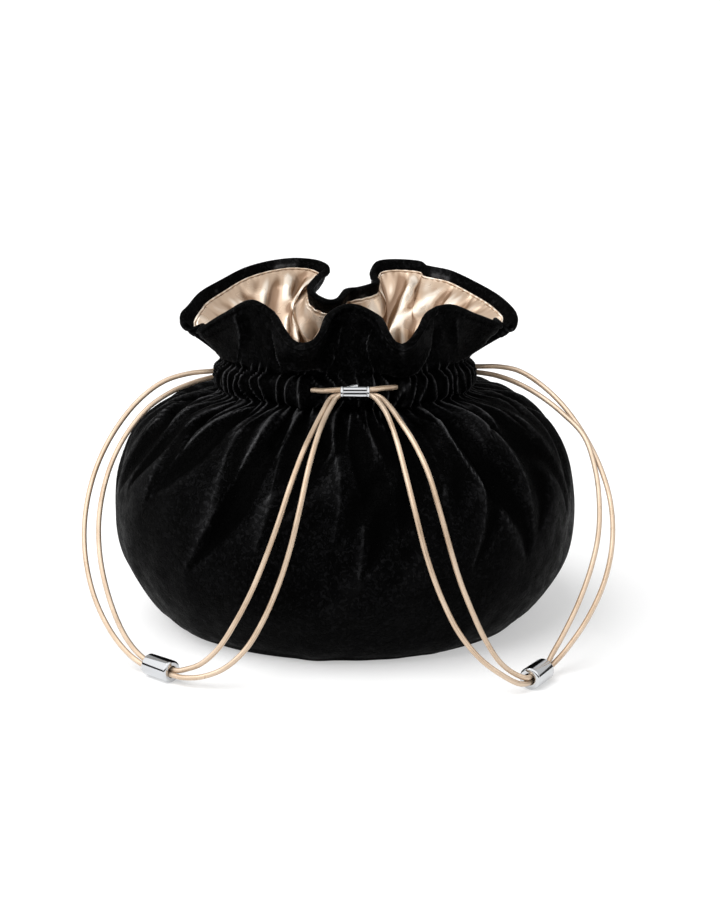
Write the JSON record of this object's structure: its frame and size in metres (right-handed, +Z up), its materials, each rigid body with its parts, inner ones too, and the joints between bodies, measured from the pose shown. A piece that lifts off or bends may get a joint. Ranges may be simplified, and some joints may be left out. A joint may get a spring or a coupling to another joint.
{
  "type": "makeup pouch",
  "caption": "Round velvet drawstring makeup pouch with a gathered neck, a wavy ruffle, a satin lining, long cord loops, metal cord beads and a front cord clasp.",
  "frame": {"origin": "middle of the flat base, on the surface the pouch rests on", "axes": "+Z up, the front with the clasp and the beads faces -Y, +X to the right seen from the front"},
  "size_m": [0.2334, 0.2156, 0.1587],
  "materials": {
    "velvet": "short crushed black velvet nap",
    "satin": "soft glossy champagne satin",
    "cord": "smooth waxed round cord, slight sheen",
    "polished_metal": "mirror polished"
  },
  "bodies": {
    "root": {"velvet_shell": "velvet", "satin_lining": "satin", "drawcord_left_upper": "cord", "drawcord_left_lower": "cord", "drawcord_right_upper": "cord", "drawcord_right_lower": "cord", "drawcord_front": "cord", "channel_cord_upper": "cord", "channel_cord_lower": "cord", "cord_bead_left": "polished_metal", "cord_bead_right": "polished_metal", "front_clasp": "polished_metal"}
  },
  "joints": []
}
